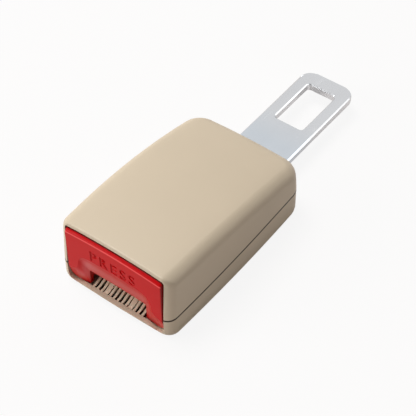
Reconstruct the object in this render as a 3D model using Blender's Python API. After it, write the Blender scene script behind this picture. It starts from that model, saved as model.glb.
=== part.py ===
"""A seat belt extender: a push-button buckle housing with its own steel tongue.

X runs across the housing, +Y from the button to the tongue and +Z up. The origin is on the flat
underside, halfway along the housing. Sizes are in metres.
"""

import math

import bmesh
import bpy
from mathutils import Vector

MM = 0.001

# Clearances
GAP = 0.3 * MM
PIN_GAP = 0.2 * MM
OVERCUT = 6.0 * MM
SUNK = 0.5 * MM

# Housing
HOUSING_LENGTH = 71.8 * MM
HOUSING_WIDTH = 46.2 * MM
END_TAPER = 0.8 * MM
HEIGHT_FRONT = 27.0 * MM
HEIGHT_REAR = 19.8 * MM
FALL_START = 11.0 * MM
CROWN = 1.1 * MM
DRAFT = 0.03
PARTING_Z = 10.9 * MM
TOP_FILLET = 4.0 * MM
TOP_FRONT_EDGE = 0.8 * MM
BOTTOM_FILLET = 2.8 * MM
FRONT_CORNER = 3.6 * MM
REAR_CORNER = 7.0 * MM
MIN_CORNER = 1.0 * MM
FRONT_LEAN = 1.0 * MM
LIP_BOW = 0.8 * MM
WALL = 2.0 * MM
TOP_WALL = 1.2 * MM
FLOOR = 1.8 * MM
SEAM_LIP = 1.5 * MM
SEAM_LIP_WALL = 0.75 * MM
FLAP_INSET = 0.05 * MM

# Mouth and lead-in ramp
MOUTH_SIDE_WALL = 3.7 * MM
MOUTH_CORNER = 1.2 * MM
MOUTH_FOOT_CORNER = 3.0 * MM
MOUTH_FLOOR = 1.6 * MM
LEAD_LIP_SLOPE = 3.0 * MM
LEAD_LIP_MARGIN = 0.2 * MM
LEAD_LIP_Z = 3.0 * MM
LEAD_LIP_DEPTH = 1.3 * MM
RAMP_START = 2.2 * MM
RAMP_HALF_WIDTH = 10.2 * MM
RAMP_RISE_LENGTH = 3.4 * MM
RIB_COUNT = 13
RIB_WIDTH = 0.8 * MM
WIDE_RIB_WIDTH = 1.6 * MM
WIDE_RIBS = (3, 9)
RIB_STEP = 0.1 * MM

# Tongue
TONGUE_WIDTH = 21.0 * MM
TONGUE_THICKNESS = 3.0 * MM
TONGUE_REACH = 50.6 * MM
TONGUE_TIP_CORNER = 4.4 * MM
TONGUE_EDGE = 0.45 * MM
WINDOW_WIDTH = 11.8 * MM
WINDOW_LENGTH = 21.5 * MM
WINDOW_TO_TIP = 6.2 * MM
WINDOW_CORNER = 1.3 * MM
WINDOW_EDGE = 0.36 * MM
TONGUE_ROOT_WIDTH = 27.0 * MM
TONGUE_ROOT_START = 46.3 * MM
TONGUE_ROOT_TO_REAR = 11.0 * MM
TONGUE_ROOT_CORNER = 2.0 * MM
TONGUE_ROOT_FRONT_CORNER = 0.8 * MM
TONGUE_SHOULDER_FILLET = 1.6 * MM

# Latch frame
STEEL = 2.0 * MM
FRAME_Z = 2.7 * MM
FRAME_REAR = 58.0 * MM
FRAME_INSIDE = 25.5 * MM
FRAME_CORNER = 1.5 * MM
CHEEK_START = 12.0 * MM
CHEEK_END = 45.6 * MM
CHEEK_TOP = 14.3 * MM
CHEEK_SLOPE = 4.0 * MM
CHEEK_CORNER = 2.0 * MM
EAR_NOTCH_MARGIN = 1.6 * MM
EAR_NOTCH_CORNER = 1.0 * MM
EAR_NOTCH_ROOT = 0.6 * MM

# Latch
LATCH_THICKNESS = 2.2 * MM
LATCH_PATH_HEIGHT = 4.5 * MM
PIVOT_Y = 42.0 * MM
PIN_RADIUS = 1.5 * MM
PIN_HEAD_RADIUS = 2.6 * MM
PIN_HEAD_LENGTH = 1.0 * MM
PIN_CHAMFER = 0.3 * MM
PIN_TAIL = 0.7 * MM
CLIP_THICKNESS = 0.6 * MM
CLIP_PLAY = 0.1 * MM
CLIP_GROOVE_DEPTH = 0.35 * MM
CLIP_OUTER_GAP_ANGLE = 22.0
CLIP_INNER_GAP_ANGLE = 35.0
KNUCKLE_WALL = 0.9 * MM
LATCH_NOSE_WIDTH = 12.6 * MM
LATCH_NOSE_REACH = 0.4 * MM
LATCH_CORNER = 1.0 * MM
TOOTH_FRONT = 16.0 * MM
TOOTH_LENGTH = 3.0 * MM
TOOTH_WIDTH = 10.8 * MM
TOOTH_TIP_LENGTH = 1.2 * MM
TOOTH_SLOPE_HEIGHT = 2.6 * MM
TOOTH_DEPTH_IN_FRAME = 1.3 * MM
TOOTH_HOLE_MARGIN = 0.8 * MM
TOOTH_SIDE_MARGIN = 0.5 * MM
LATCH_SHOULDER = 21.5 * MM
EAR_Y = 25.0 * MM
EAR_REACH = 2.9 * MM
LIFT_ANGLE = 0.2

# Button
BUTTON_TRAVEL = 5.5 * MM
BUTTON_CLEARANCE = 0.35 * MM
BUTTON_FACE = 3.0 * MM
BUTTON_EDGE = 0.45 * MM
BUTTON_EDGE_SHARE = 0.3
BUTTON_TOP_DROP = 1.0 * MM
BUTTON_TOP_SLOPE = 1.6 * MM
BUTTON_SKIRT = 9.0 * MM
SKIRT_WALL = 1.4 * MM
SCOOP_DEPTH = 1.6 * MM
SCOOP_SLOPE = ((0.08, 0.04), (0.2, 0.13), (0.45, 0.37), (0.75, 0.7), (1.0, 1.0))
SCOOP_TOP_Z = 17.1 * MM
SCOOP_CROWN = 0.7 * MM
SCOOP_HALF_WIDTH = 13.8 * MM
SCOOP_CORNER = 4.5 * MM
SCOOP_WAIST_HALF = 15.2 * MM
SCOOP_WAIST_Z = 8.6 * MM
SCOOP_WAIST_CORNER = 3.5 * MM
SCOOP_FLARE_Z = 7.6 * MM
SLOT_HALF_WIDTH = 11.4 * MM
SLOT_HEIGHT = 4.8 * MM
SLOT_CROWN = 0.3 * MM
SLOT_CORNER = 0.8 * MM
SLOT_FOOT_Z = 2.2 * MM
SLOT_FLARE_Z = 1.2 * MM
ARCH_RADIUS = 110.0 * MM
THROAT_WALL = 1.0 * MM
THROAT_LENGTH = 3.2 * MM
ARM_CLEARANCE = 0.5 * MM
ARM_THICKNESS = 2.6 * MM
ARM_BOTTOM = 5.8 * MM
ARM_REACH = 29.0 * MM
ARM_CHAMFER = 0.8 * MM
STOP_LUG_REACH = 0.75 * MM
STOP_LUG_LENGTH = 2.0 * MM
STOP_LUG_Z = 14.0 * MM
STOP_LUG_HEIGHT = 6.0 * MM

# Ejector
EJECTOR_LENGTH = 7.0 * MM
EJECTOR_WIDTH = 14.0 * MM
EJECTOR_CORNER = 0.8 * MM
EJECTOR_FOOT_CORNER = 0.4 * MM
KEEL_HALF_WIDTH = 2.3 * MM
KEEL_SETBACK = 1.2 * MM
SPIGOT_RADIUS = 1.2 * MM
SPIGOT_LENGTH = 3.2 * MM

# Springs
EJECTOR_COIL_RADIUS = 1.85 * MM
EJECTOR_SPRING_RISE = 0.5 * MM
EJECTOR_WIRE = 0.5 * MM
BUTTON_SPRING_X = 11.0 * MM
BUTTON_SPRING_DROP = 6.6 * MM
BUTTON_COIL_RADIUS = 1.9 * MM
BUTTON_WIRE = 0.5 * MM
BUTTON_SEAT = 25.3 * MM
SPRING_PIN_LENGTH = 5.0 * MM
SEAT_THICKNESS = 1.6 * MM
SEAT_HALF_WIDTH = 3.2 * MM
LATCH_SPRING_Y = 26.0 * MM
LATCH_COIL_RADIUS = 2.2 * MM
LATCH_WIRE = 0.55 * MM
LATCH_BOSS_LENGTH = 5.5 * MM
COIL_SPACING = 2.0 * MM
CLOSED_PITCH = 1.08

# Rivets, pads and posts
RIVET_RADIUS = 2.0 * MM
RIVET_HEAD_RADIUS = 3.4 * MM
RIVET_TO_EDGE = 6.5 * MM
RIVET_HEAD = 1.1 * MM
RIVET_DOME = ((1.0, 0.0), (0.95, 0.4), (0.72, 0.8), (0.35, 1.0))
COUNTERSINK = 1.0 * MM
PAD_RADIUS = 2.6 * MM
LOCATING_PIN_RADIUS = 1.4 * MM
LOCATING_PIN_X = 9.0 * MM
LOCATING_PIN_Y = 33.0 * MM
POST_RADIUS = 1.8 * MM
POST_X = 9.5 * MM
POST_TO_ROOT_END = 3.0 * MM

# Heights and places that follow
MOUTH_HALF_WIDTH = HOUSING_WIDTH / 2 - MOUTH_SIDE_WALL
LEAD_LIP_END = MOUTH_HALF_WIDTH - MOUTH_FOOT_CORNER - LEAD_LIP_MARGIN
LEAD_LIP_HALF_WIDTH = LEAD_LIP_END - LEAD_LIP_SLOPE
FRAME_FRONT = BUTTON_FACE + BUTTON_TRAVEL + 2 * GAP
TONGUE_TIP = HOUSING_LENGTH + TONGUE_REACH
TONGUE_ROOT_END = HOUSING_LENGTH - TONGUE_ROOT_TO_REAR
FRAME_TOP = FRAME_Z + STEEL
TONGUE_Z = FRAME_TOP + GAP
TONGUE_TOP = TONGUE_Z + TONGUE_THICKNESS
SLOT_CEILING = FRAME_TOP + SLOT_HEIGHT
LATCH_Z = FRAME_TOP + LATCH_PATH_HEIGHT
PIVOT_Z = LATCH_Z + LATCH_THICKNESS / 2
EAR_RADIUS = LATCH_THICKNESS / 2
CHEEK_INNER = FRAME_INSIDE / 2
CHEEK_OUTER = CHEEK_INNER + STEEL
ARM_INNER = CHEEK_OUTER + ARM_CLEARANCE
LATCH_HALF_WIDTH = CHEEK_INNER - GAP
EJECTOR_FRONT = TOOTH_FRONT + TOOTH_LENGTH + TOOTH_HOLE_MARGIN
EJECTOR_REAR = EJECTOR_FRONT + EJECTOR_LENGTH
EJECTOR_SPRING_Z = FRAME_TOP + EJECTOR_SPRING_RISE
BUTTON_SPRING_Z = HEIGHT_FRONT - BUTTON_SPRING_DROP
RIVET_X = TONGUE_ROOT_WIDTH / 2 - RIVET_TO_EDGE
RIVET_Y = (TONGUE_ROOT_START + FRAME_REAR) / 2
POST_Y = TONGUE_ROOT_END - POST_TO_ROOT_END
MID_Y = HOUSING_LENGTH / 2


def along(y):
    """A distance behind the front rim, as a coordinate."""
    return y - MID_Y


def plastic(name, colour, roughness):
    material = bpy.data.materials.new(name)
    material.use_nodes = True
    shader = material.node_tree.nodes["Principled BSDF"]
    shader.inputs["Base Color"].default_value = (*colour, 1.0)
    shader.inputs["Roughness"].default_value = roughness
    return material


def metal(name, colour, roughness):
    material = plastic(name, colour, roughness)
    material.node_tree.nodes["Principled BSDF"].inputs["Metallic"].default_value = 1.0
    return material


def finish_mesh(name, bm, material=None):
    """Turns a bmesh into an object with its faces pointing out."""
    bmesh.ops.recalc_face_normals(bm, faces=bm.faces)
    mesh = bpy.data.meshes.new(name)
    bm.to_mesh(mesh)
    bm.free()
    obj = bpy.data.objects.new(name, mesh)
    bpy.context.scene.collection.objects.link(obj)
    if material:
        mesh.materials.append(material)
        mesh.shade_smooth()
        mesh.set_sharp_from_angle(angle=math.radians(35))
    return obj


def helper(name, bm):
    """A cutter, or a shape to be joined, which isn't a piece itself."""
    obj = finish_mesh(name, bm)
    obj.hide_render = True
    obj.display_type = "WIRE"
    return obj


def combine(target, other, operation):
    modifier = target.modifiers.new(other.name, "BOOLEAN")
    modifier.object = other
    modifier.operation = operation
    modifier.solver = "EXACT"


def cut(target, *cutters):
    for cutter in cutters:
        combine(target, cutter, "DIFFERENCE")


def join(target, *others):
    for other in others:
        combine(target, other, "UNION")


def loft(bm, rings):
    """Skins equal rings of points and closes the ends with flat faces."""
    loops = [[bm.verts.new(point) for point in ring] for ring in rings]
    count = len(loops[0])
    for lower, upper in zip(loops, loops[1:]):
        for i in range(count):
            j = (i + 1) % count
            bm.faces.new((lower[i], lower[j], upper[j], upper[i]))
    bm.faces.new(list(reversed(loops[0])))
    bm.faces.new(loops[-1])


def prism(points, start, end, axis):
    """Extrudes a flat outline along X, Y or Z. The outline holds the other two coordinates."""
    placed = {
        "X": lambda u, v, w: Vector((w, u, v)),
        "Y": lambda u, v, w: Vector((u, w, v)),
        "Z": lambda u, v, w: Vector((u, v, w)),
    }[axis]
    bm = bmesh.new()
    loft(bm, [[placed(u, v, w) for u, v in points] for w in (start, end)])
    return bm


def box(low, high):
    outline = [(low[0], low[1]), (high[0], low[1]), (high[0], high[1]), (low[0], high[1])]
    return prism(outline, low[2], high[2], "Z")


def add_bm(target, source):
    """Adds a separate closed shape to a bmesh."""
    mesh = bpy.data.meshes.new("joined")
    source.to_mesh(mesh)
    source.free()
    target.from_mesh(mesh)
    bpy.data.meshes.remove(mesh)
    return target


def arc(centre, radius, start, end, steps):
    """Points of an arc, with its angles in degrees."""
    points = []
    for i in range(steps + 1):
        angle = math.radians(start + (end - start) * i / steps)
        points.append((centre[0] + radius * math.cos(angle), centre[1] + radius * math.sin(angle)))
    return points


def round_corner(before, corner, after, radius, steps=4):
    """The arc that rounds one corner of an outline."""
    corner = Vector(corner)
    into = (Vector(before) - corner).normalized()
    out = (Vector(after) - corner).normalized()
    half = into.angle(out) / 2
    centre = corner + (into + out).normalized() * (radius / math.sin(half))
    first = (corner + into * (radius / math.tan(half)) - centre).normalized()
    last = (corner + out * (radius / math.tan(half)) - centre).normalized()
    return [tuple(centre + first.slerp(last, i / steps) * radius) for i in range(steps + 1)]


def rounded_outline(corners, steps=4):
    """An outline from (x, y, radius) corners, where a radius of 0 keeps the corner sharp."""
    points = []
    for i, (x, y, radius) in enumerate(corners):
        before = corners[i - 1][:2]
        after = corners[(i + 1) % len(corners)][:2]
        if radius:
            points += round_corner(before, (x, y), after, radius, steps)
        else:
            points.append((x, y))
    return points


def rod(start, end, radius, sides=20):
    """A plain cylinder between two points."""
    start, end = Vector(start), Vector(end)
    turn = (end - start).to_track_quat("Z", "Y")
    bm = bmesh.new()
    rings = []
    for end_point in (start, end):
        ring = []
        for i in range(sides):
            angle = math.tau * i / sides
            offset = Vector((math.cos(angle), math.sin(angle), 0)) * radius
            ring.append(end_point + turn @ offset)
        rings.append(ring)
    loft(bm, rings)
    return bm


def turned(profile, base, axis, sides=24):
    """Turns (radius, height) points about an axis. The profile starts and ends on the axis."""
    turn = Vector(axis).to_track_quat("Z", "Y")
    bm = bmesh.new()
    rings = []
    for radius, height in profile[1:-1]:
        ring = []
        for i in range(sides):
            angle = math.tau * i / sides
            offset = Vector((radius * math.cos(angle), radius * math.sin(angle), height))
            ring.append(Vector(base) + turn @ offset)
        rings.append(ring)
    loft(bm, rings)
    return bm


def make_spring(name, start, end, radius, wire, material, steps=10, sides=5):
    """A compression spring between two points, with a closed turn at each end."""
    start, end = Vector(start), Vector(end)
    length = (end - start).length - wire
    turn = (end - start).to_track_quat("Z", "Y")
    open_turns = max(3, round(length / COIL_SPACING))
    turns = open_turns + 2
    pitch_end = wire * CLOSED_PITCH
    rings = []
    total = turns * steps
    centres = []
    for i in range(total + 1):
        lap = i / steps
        if lap < 1:
            height = pitch_end * lap
        elif lap > turns - 1:
            height = length - pitch_end * (turns - lap)
        else:
            height = pitch_end + (length - 2 * pitch_end) * (lap - 1) / open_turns
        angle = math.tau * lap
        across = Vector((math.cos(angle), math.sin(angle), 0)) * radius
        centres.append(across + Vector((0, 0, height + wire / 2)))
    for i, centre in enumerate(centres):
        outward = Vector((centre.x, centre.y, 0)).normalized()
        ring = []
        for k in range(sides):
            angle = math.tau * k / sides
            offset = outward * math.cos(angle) + Vector((0, 0, 1)) * math.sin(angle)
            ring.append(start + turn @ (centre + offset * (wire / 2)))
        rings.append(ring)
    bm = bmesh.new()
    loft(bm, rings)
    finish_mesh(name, bm, material)


# Housing form


def half_width(y):
    """Half of the housing's width at a distance behind the front rim."""
    from_middle = (y - MID_Y) / MID_Y
    return HOUSING_WIDTH / 2 - END_TAPER * from_middle * from_middle


def crown_at(x):
    share = x / (HOUSING_WIDTH / 2)
    return CROWN * (1 - share * share)


def top_level(x, y):
    """Height of the housing's top, without its edge fillet."""
    beyond = max(0.0, y - FALL_START) / (HOUSING_LENGTH - FALL_START)
    return HEIGHT_FRONT - (HEIGHT_FRONT - HEIGHT_REAR) * beyond * beyond + crown_at(x)


def plan_ring(inset, front, corner_front, corner_rear, rear_inset=None):
    """Plan outline of the housing as (x, y) points, the same number for any inset."""
    rear = HOUSING_LENGTH - (inset if rear_inset is None else rear_inset)
    side = HOUSING_WIDTH / 2 - inset
    right = [(side * i / 4 * 0.8, front) for i in range(5)]
    right += arc((side - corner_front, front + corner_front), corner_front, -90, 0, 5)
    straight = (rear - corner_rear) - (front + corner_front)
    right += [(side, front + corner_front + straight * i / 9) for i in range(1, 9)]
    right += arc((side - corner_rear, rear - corner_rear), corner_rear, 0, 90, 7)
    right += [(side * 0.6 * (1 - i / 3), rear) for i in range(4)]
    outline = []
    for x, y in right:
        bulge = (half_width(y) - HOUSING_WIDTH / 2) * x / side
        outline.append((x + bulge, y))
    left = [(-x, y) for x, y in reversed(outline[1:-1])]
    return outline + left


def lean_at(z):
    return FRONT_LEAN * max(0.0, z - PARTING_Z) / (HEIGHT_FRONT - PARTING_Z)


def upper_rings(inset, z_low, fillet, drop, front_inset):
    """Rings of the upper shell, from a low level up round its top edge fillet."""
    rings = []
    side_top = HEIGHT_FRONT - fillet - drop
    for z in (z_low, z_low + 0.5 * (side_top - z_low)):
        rings.append(side_ring(inset, z, front_inset))
    for step in range(6):
        angle = math.radians(90 * step / 5)
        inward = fillet * (1 - math.cos(angle))
        below = fillet * (1 - math.sin(angle))
        front = front_inset + front_edge_at(below)
        rings.append(top_ring(inset + inward, below + drop, front, inward))
    return rings


def front_edge_at(below):
    """How far the rounded front edge draws the top back, at a depth below the top."""
    rest = max(0.0, TOP_FRONT_EDGE - below)
    return TOP_FRONT_EDGE - math.sqrt(TOP_FRONT_EDGE * TOP_FRONT_EDGE - rest * rest)


def side_ring(inset, z, front_inset):
    """A ring of the wall. Towards the rear the wall ends lower, so the ring does too."""
    drafted = inset + DRAFT * max(0.0, z - PARTING_Z)
    ring = []
    corner_front = max(FRONT_CORNER - front_inset, MIN_CORNER)
    corner_rear = max(REAR_CORNER - inset, MIN_CORNER)
    for x, y in plan_ring(drafted, lean_at(z) + front_inset, corner_front, corner_rear):
        fall = (top_level(0, 0) - top_level(0, y)) * (z - PARTING_Z) / (HEIGHT_FRONT - PARTING_Z)
        ring.append((x, along(y), z - max(0.0, fall)))
    return ring


def top_ring(inset, below, front_inset, inward):
    level = HEIGHT_FRONT - below
    drafted = inset + DRAFT * max(0.0, level - PARTING_Z)
    corner_front = max(FRONT_CORNER - front_inset - inward, MIN_CORNER)
    corner_rear = max(REAR_CORNER - inset, MIN_CORNER)
    ring = []
    for x, y in plan_ring(drafted, lean_at(level) + front_inset, corner_front, corner_rear):
        ring.append((x, along(y), top_level(x, y) - below))
    return ring


def crowned_body(inset, z_low, fillet, drop, front_inset):
    """A closed body with vertical walls, a filleted top edge and a crowned top."""
    bm = bmesh.new()
    rings = upper_rings(inset, z_low, fillet, drop, front_inset)
    last = rings[-1]
    for share in (0.8, 0.55, 0.3, 0.1):
        ring = []
        for x, y, _ in last:
            px = x * share
            py = MID_Y + y * share
            ring.append((px, along(py), top_level(px, max(py, 0.0)) - drop))
        rings.append(ring)
    loft(bm, rings)
    return bm


def lower_body(inset, z_low, z_high, fillet, front_inset, bow):
    """A closed body from a flat underside, round its edge fillet and up to a level rim."""
    rings = []
    for step in range(5):
        angle = math.radians(90 * step / 4)
        inward = inset + fillet * (1 - math.sin(angle))
        z = z_low + fillet * (1 - math.cos(angle))
        corner_front = max(FRONT_CORNER - front_inset, MIN_CORNER)
        corner_rear = max(REAR_CORNER - inward, MIN_CORNER)
        front = front_inset + fillet * (1 - math.sin(angle))
        rings.append([(x, y, z) for x, y in plan_ring(inward, front, corner_front, corner_rear)])
    if z_high > z_low + fillet + GAP:
        rings.append([(x, y, z_high) for x, y, _ in rings[-1]])
    bm = bmesh.new()
    bowed = []
    for ring in rings:
        bowed.append([(x, along(y) - bow_at(x, y, bow), z) for x, y, z in ring])
    loft(bm, bowed)
    return bm


def bow_at(x, y, bow):
    """How far the lower shell's front bulges forward of the straight rim."""
    if y > FRONT_CORNER:
        return 0.0
    share = min(1.0, abs(x) / MOUTH_HALF_WIDTH)
    return bow * (1 - share * share)


def mouth_outline(clearance, floor, foot_corner, lip=(), drop=0.0):
    """The mouth's outline in X and Z: upright sides, a crowned top and rounded lower corners."""
    half = MOUTH_HALF_WIDTH - clearance
    top = HEIGHT_FRONT - TOP_WALL - clearance - drop
    corner = MOUTH_CORNER
    points = arc((-half + foot_corner, floor + foot_corner), foot_corner, 180, 270, 5)
    points += lip
    points += arc((half - foot_corner, floor + foot_corner), foot_corner, 270, 360, 5)
    points += arc((half - corner, top + crown_at(half) - corner), corner, 0, 75, 3)
    for i in range(1, 10):
        x = half - corner - (2 * half - 2 * corner) * i / 10
        points.append((x, top + crown_at(x)))
    points += arc((-half + corner, top + crown_at(half) - corner), corner, 105, 180, 3)
    return points


def mouth_cutter(lip, start, end):
    outline = mouth_outline(0.0, MOUTH_FLOOR, MOUTH_FOOT_CORNER, lip)
    return prism(outline, along(start), along(end), "Y")


def tongue_notch():
    """Cuts the tongue's way out through the lower shell's rear wall, up to the parting line."""
    half = TONGUE_WIDTH / 2 + GAP
    low = (-half, along(HOUSING_LENGTH - WALL - OVERCUT / 2), TONGUE_Z - GAP)
    return box(low, (half, along(HOUSING_LENGTH + OVERCUT), PARTING_Z + OVERCUT))


def notch_flap():
    """The upper shell's flap, which fills the notch above the tongue."""
    half = TONGUE_WIDTH / 2
    low = TONGUE_TOP + GAP
    top = PARTING_Z + SEAM_LIP + 2 * GAP
    inner, outer = HOUSING_LENGTH - WALL + FLAP_INSET, HOUSING_LENGTH - FLAP_INSET
    outline = [
        (along(inner), low),
        (along(outer), low),
        (along(outer), PARTING_Z + GAP),
        (along((inner + outer) / 2), top),
        (along(inner), top),
    ]
    return prism(outline, -half, half, "X")


def make_upper_cover(material):
    rim = PARTING_Z + GAP / 2
    cover = finish_mesh("upper_cover", crowned_body(0.0, rim, TOP_FILLET, 0.0, 0.0), material)
    cavity = crowned_body(WALL, rim - OVERCUT, TOP_FILLET - WALL, TOP_WALL, WALL)
    lip_room = WALL - SEAM_LIP_WALL - GAP
    pocket = lower_body(lip_room, rim - OVERCUT, rim + SEAM_LIP + GAP, 0.0, lip_room, 0.0)
    mouth = mouth_cutter([], -OVERCUT, WALL + OVERCUT)
    cut(cover, helper("upper_cavity", cavity), helper("upper_seam_pocket", pocket))
    cut(cover, helper("upper_mouth", mouth))
    seats = bmesh.new()
    for side in (-1, 1):
        x = side * BUTTON_SPRING_X
        top = HEIGHT_FRONT - TOP_WALL / 2
        low = (x - SEAT_HALF_WIDTH, along(BUTTON_SEAT), BUTTON_SPRING_Z - BUTTON_COIL_RADIUS - BUTTON_WIRE)
        high = (x + SEAT_HALF_WIDTH, along(BUTTON_SEAT + SEAT_THICKNESS), top)
        add_bm(seats, box(low, high))
        post_top = top_level(POST_X, POST_Y) - TOP_WALL / 2
        post = (side * POST_X, along(POST_Y))
        add_bm(seats, rod((*post, TONGUE_TOP + GAP), (*post, post_top), POST_RADIUS, 16))
    boss = (0.0, along(LATCH_SPRING_Y))
    boss_top = top_level(0, LATCH_SPRING_Y) - TOP_WALL / 2
    boss_radius = LATCH_COIL_RADIUS - LATCH_WIRE / 2 - GAP
    add_bm(seats, rod((*boss, boss_top - LATCH_BOSS_LENGTH), (*boss, boss_top), boss_radius, 16))
    join(cover, helper("upper_seats", seats), helper("notch_flap", notch_flap()))
    return cover


def ramp_profile():
    """Side outline of a lead-in rib: it climbs from the lip to the frame's top."""
    start = LEAD_LIP_DEPTH - 2 * GAP
    end = FRAME_FRONT - GAP
    foot = MOUTH_FLOOR - SUNK
    return [
        (along(start), foot),
        (along(end), foot),
        (along(end), FRAME_TOP),
        (along(RAMP_START + RAMP_RISE_LENGTH), FRAME_TOP),
        (along(RAMP_START), LEAD_LIP_Z),
        (along(start), LEAD_LIP_Z - RIB_STEP),
    ]


def make_lower_cover(material):
    rim = PARTING_Z - GAP / 2
    cover = finish_mesh("lower_cover", lower_body(0.0, 0.0, rim, BOTTOM_FILLET, 0.0, LIP_BOW), material)
    inset = WALL - SEAM_LIP_WALL
    seam = lower_body(inset, FLOOR + GAP, PARTING_Z + SEAM_LIP, 0.0, inset, 0.0)
    cavity = lower_body(WALL, FLOOR, PARTING_Z + OVERCUT, 0.0, WALL, 0.0)
    lip_mouth = mouth_cutter(lead_lip(), -OVERCUT, LEAD_LIP_DEPTH)
    mouth = mouth_cutter([], LEAD_LIP_DEPTH - GAP, WALL + OVERCUT / 2)
    join(cover, helper("seam_lip", seam))
    cut(cover, helper("lower_cavity", cavity), helper("lip_mouth", lip_mouth), helper("lower_mouth", mouth))
    join(cover, helper("ramp_ribs", ramp_ribs()), helper("floor_pads", floor_pads()))
    cut(cover, helper("tongue_notch", tongue_notch()))
    return cover


def lead_lip():
    """The part of the mouth's outline that rises over the middle of the front lip."""
    return [
        (-LEAD_LIP_END, MOUTH_FLOOR),
        (-LEAD_LIP_HALF_WIDTH, LEAD_LIP_Z),
        (LEAD_LIP_HALF_WIDTH, LEAD_LIP_Z),
        (LEAD_LIP_END, MOUTH_FLOOR),
    ]


def ramp_ribs():
    """Parallel ribs that carry the incoming tongue. Two of them are wider."""
    bm = bmesh.new()
    span = 2 * RAMP_HALF_WIDTH - RIB_WIDTH
    for i in range(RIB_COUNT):
        x = -span / 2 + span * i / (RIB_COUNT - 1)
        width = WIDE_RIB_WIDTH if i in WIDE_RIBS else RIB_WIDTH
        add_bm(bm, prism(ramp_profile(), x - width / 2, x + width / 2, "X"))
    return bm


def floor_pads():
    """Round pads under the frame, and two locating pins that pass through it."""
    bm = bmesh.new()
    sunk = FLOOR - SUNK
    pad_x = CHEEK_INNER - PAD_RADIUS
    for side in (-1, 1):
        for y in (FRAME_FRONT + 2 * PAD_RADIUS, CHEEK_END - PAD_RADIUS, FRAME_REAR - PAD_RADIUS):
            place = (side * pad_x, along(y))
            add_bm(bm, rod((*place, sunk), (*place, FRAME_Z - GAP), PAD_RADIUS, 16))
        place = (side * LOCATING_PIN_X, along(LOCATING_PIN_Y))
        add_bm(bm, rod((*place, sunk), (*place, FRAME_TOP + GAP), LOCATING_PIN_RADIUS, 12))
    return bm


# Button


def scoop_outline(share):
    """The scoop's outline on the button's face at 0, narrowing to the tongue slot at 1."""
    beyond = MOUTH_HALF_WIDTH + GAP
    scoop = [
        (beyond, MOUTH_FLOOR - OVERCUT, 0),
        (beyond, SCOOP_FLARE_Z, 0),
        (SCOOP_WAIST_HALF, SCOOP_WAIST_Z, SCOOP_WAIST_CORNER),
        (SCOOP_HALF_WIDTH, SCOOP_TOP_Z - SCOOP_CROWN, SCOOP_CORNER),
        (0, SCOOP_TOP_Z, ARCH_RADIUS),
    ]
    slot = [
        (beyond, MOUTH_FLOOR - OVERCUT, 0),
        (beyond, SLOT_FLARE_Z, 0),
        (SLOT_HALF_WIDTH, SLOT_FOOT_Z, SLOT_CORNER),
        (SLOT_HALF_WIDTH, SLOT_CEILING - SLOT_CROWN, SLOT_CORNER),
        (0, SLOT_CEILING, ARCH_RADIUS),
    ]
    right = []
    for face_corner, slot_corner in zip(scoop, slot):
        right.append([a + (b - a) * share for a, b in zip(face_corner, slot_corner)])
    left = [[-x, z, radius] for x, z, radius in reversed(right[:-1])]
    return rounded_outline(right + left, 6)


def funnel_cutter():
    """Lofts the scoop back to the slot, with a soft edge at the face, then goes straight through."""
    rings = []
    stations = [(-OVERCUT, 0.0), (0.0, 0.0)]
    stations += [(share_in * SCOOP_DEPTH, share) for share_in, share in SCOOP_SLOPE]
    stations.append((BUTTON_FACE + OVERCUT, 1.0))
    for y, share in stations:
        rings.append([(x, along(y), z) for x, z in scoop_outline(share)])
    bm = bmesh.new()
    loft(bm, rings)
    return bm


def button_face():
    """The face plate. Its front edge is rounded over, and its top slopes up to meet the rim."""
    part_slope = BUTTON_TOP_DROP * (1 - BUTTON_EDGE / BUTTON_TOP_SLOPE)
    turn = BUTTON_EDGE_SHARE * BUTTON_EDGE
    stations = (
        (0.0, BUTTON_EDGE, BUTTON_TOP_DROP),
        (turn, turn, BUTTON_TOP_DROP),
        (BUTTON_EDGE, 0.0, part_slope),
        (BUTTON_TOP_SLOPE, 0.0, 0.0),
        (BUTTON_FACE, 0.0, 0.0),
    )
    rings = []
    for y, inset, drop in stations:
        floor = MOUTH_FLOOR + BUTTON_CLEARANCE + inset
        outline = mouth_outline(BUTTON_CLEARANCE + inset, floor, MOUTH_FOOT_CORNER, (), drop)
        rings.append([(x, along(y), z) for x, z in outline])
    bm = bmesh.new()
    loft(bm, rings)
    return bm


def throat():
    """A block behind the face, which the funnel turns into the slot's side walls and ceiling."""
    half = SLOT_HALF_WIDTH + THROAT_WALL
    low = (-half, along(BUTTON_FACE - SUNK), TONGUE_Z)
    return box(low, (half, along(BUTTON_FACE + THROAT_LENGTH), SLOT_CEILING + THROAT_WALL))


def button_skirt():
    """The walls behind the face, open at the rear and below."""
    start = BUTTON_FACE - SUNK
    end = BUTTON_FACE + BUTTON_SKIRT
    outer = mouth_outline(BUTTON_CLEARANCE, ARM_BOTTOM, MOUTH_CORNER)
    inner = mouth_outline(BUTTON_CLEARANCE + SKIRT_WALL, ARM_BOTTOM - OVERCUT, MOUTH_CORNER)
    skirt = helper("button_skirt", prism(outer, along(start), along(end), "Y"))
    hollow = prism(inner, along(BUTTON_FACE), along(end + OVERCUT), "Y")
    cut(skirt, helper("skirt_hollow", hollow))
    return skirt


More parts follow.
